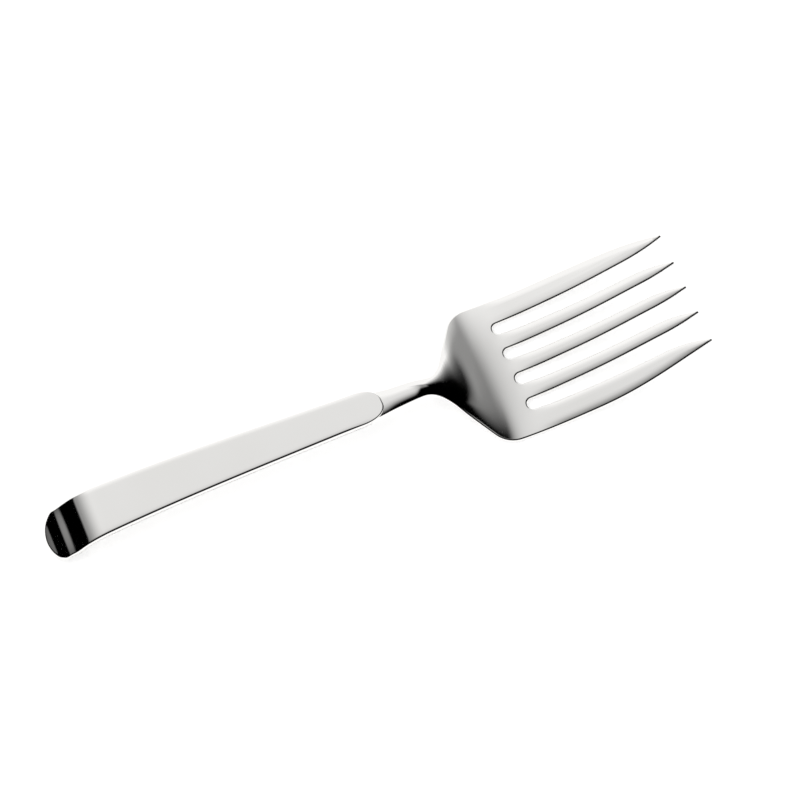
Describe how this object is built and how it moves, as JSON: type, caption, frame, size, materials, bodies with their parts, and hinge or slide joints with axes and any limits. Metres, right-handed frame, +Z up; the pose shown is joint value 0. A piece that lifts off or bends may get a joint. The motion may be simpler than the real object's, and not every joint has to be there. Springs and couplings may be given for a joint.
{
  "type": "serving fork",
  "caption": "Polished steel serving fork with broad tapering tines, a dished square-shouldered palm, a waisted neck and a hollow handle with a flat top facet and a stepped, curled butt.",
  "frame": {"origin": "on the table plane, under the middle of the fork's bounding box", "axes": "+X from the butt of the handle to the tips of the tines, +Y across the fork, +Z up, with the fork lying face up as it does on a table"},
  "size_m": [0.24, 0.0536, 0.0153],
  "materials": {
    "polished_steel": "mirror-polished stainless steel",
    "handle_cement": "rough grey filling cement, sealed inside the handle"
  },
  "bodies": {
    "root": {"fork_head": "polished_steel", "handle_top_shell": "polished_steel", "handle_bottom_shell": "polished_steel", "handle_filler": "handle_cement"}
  },
  "joints": []
}
